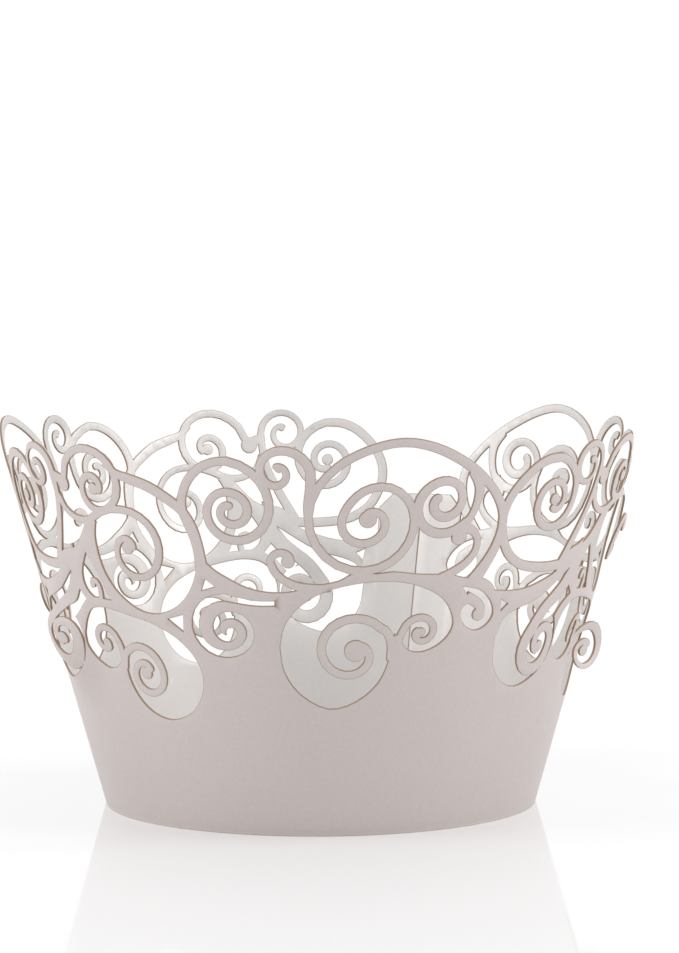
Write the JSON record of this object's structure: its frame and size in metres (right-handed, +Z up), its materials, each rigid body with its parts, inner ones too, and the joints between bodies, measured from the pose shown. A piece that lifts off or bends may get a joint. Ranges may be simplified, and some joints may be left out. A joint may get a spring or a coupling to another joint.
{
  "type": "cupcake wrapper",
  "caption": "Flared card ring for a standard cupcake, with a plain band at the base and a laser-cut scrollwork rim",
  "frame": {"origin": "centre of the ring, in the plane that its base edge stands on", "axes": "+Z up along the ring's axis, -Y towards the front, where the seam is not, +X to the front's right"},
  "size_m": [0.0798, 0.0798, 0.0481],
  "materials": {
    "card": "satin"
  },
  "bodies": {
    "root": {"wrapper": "card"}
  },
  "joints": []
}
